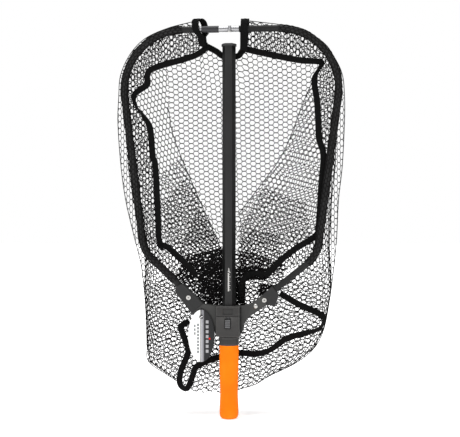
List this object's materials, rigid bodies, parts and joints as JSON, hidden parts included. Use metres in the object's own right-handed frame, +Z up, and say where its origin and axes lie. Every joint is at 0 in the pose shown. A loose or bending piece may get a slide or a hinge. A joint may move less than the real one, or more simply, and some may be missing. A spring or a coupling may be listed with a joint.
{
  "type": "folding landing net",
  "caption": "Folding landing net: a hoop in two hinged halves with a mesh bag, on a yoke that slides along a hexagonal handle tube with a short moulded grip.",
  "frame": {"origin": "centre of the flat disc at the end of the grip", "axes": "+Z up the handle tube towards the tip of the hoop, the hoop in the XZ plane with the folding half on -X, and the net bag on the +Y side"},
  "size_m": [0.4151, 0.155, 0.74],
  "materials": {
    "anodised_tube": "satin black anodised",
    "hoop_black": "satin black powder coat",
    "ferrule_metal": "brushed",
    "collar_grey": "satin dark grey",
    "yoke_plastic": "moulded glass-filled nylon",
    "cover_plastic": "moulded nylon, fine texture",
    "socket_plastic": "moulded nylon",
    "lever_plastic": "moulded acetal",
    "bushing_plastic": "natural acetal",
    "grip_rubber": "soft-touch orange",
    "cap_rubber": "matt black",
    "rivet_steel": "nickel plated",
    "spring_steel": "bright",
    "netting": "knotless nylon mesh",
    "webbing": "woven polyester tape",
    "tag_card": "printed card",
    "tie_plastic": "thin nylon"
  },
  "bodies": {
    "handle": {"handle_tube": "anodised_tube", "tube_end_cap": "cap_rubber", "grip": "grip_rubber", "butt_plug": "cap_rubber", "grip_collar": "cover_plastic", "collar_screw": "rivet_steel"},
    "head": {"yoke_body": "yoke_plastic", "slide_bushing": "bushing_plastic", "lever_cover": "cover_plastic", "cap_band": "cover_plastic", "cover_screws": "rivet_steel", "lever_pin": "rivet_steel", "lever_spring": "spring_steel", "right_hoop_tube": "hoop_black", "right_ferrule": "ferrule_metal", "tip_hinge_pin": "rivet_steel", "right_socket": "socket_plastic", "right_tube_rivet": "rivet_steel", "right_arm_rivet": "rivet_steel", "net_bag": "netting", "rim_tape_right": "webbing", "rim_tape_top": "webbing", "bag_tape": "webbing", "tape_loop_right": "webbing", "tag_tie": "tie_plastic"},
    "left_half": {"left_hoop_tube": "hoop_black", "left_ferrule": "ferrule_metal", "left_socket": "socket_plastic", "left_tube_rivet": "rivet_steel", "rim_tape_left": "webbing", "tape_loop_left": "webbing"},
    "collar": {"lock_collar": "collar_grey"},
    "lever": {"brake_lever": "lever_plastic", "brake_shoe": "cap_rubber"},
    "tag": {"swing_tag": "tag_card", "tag_eyelet": "rivet_steel"}
  },
  "joints": [
    {"name": "head_slide", "type": "slide", "parent": "handle", "child": "head", "axis": [0, 0, 1], "range_m": [0, 0.47]},
    {"name": "hoop_fold", "type": "hinge", "parent": "head", "child": "left_half", "pos_m": [0.0015, -0.0062, 0.7205], "axis": [0, 0, 1], "range_deg": [0, 165], "deforming": ["net_bag", "rim_tape_left", "rim_tape_right", "rim_tape_top", "bag_tape", "tape_loop_left", "tape_loop_right"]},
    {"name": "collar_slide", "type": "slide", "parent": "left_half", "child": "collar", "axis": [-1, 0, 0], "range_m": [-0.017, 0]},
    {"name": "brake_press", "type": "hinge", "parent": "head", "child": "lever", "pos_m": [0, -0.02, 0.188], "axis": [1, 0, 0], "range_deg": [0, 5], "stiffness_Nm_per_rad": 0.05, "springref_deg": -6.88, "deforming": ["lever_spring"]},
    {"name": "tag_swing", "type": "hinge", "parent": "head", "child": "tag", "pos_m": [-0.05, -0.0118, 0.19], "axis": [0, 1, 0], "range_deg": [-3, 35]}
  ]
}
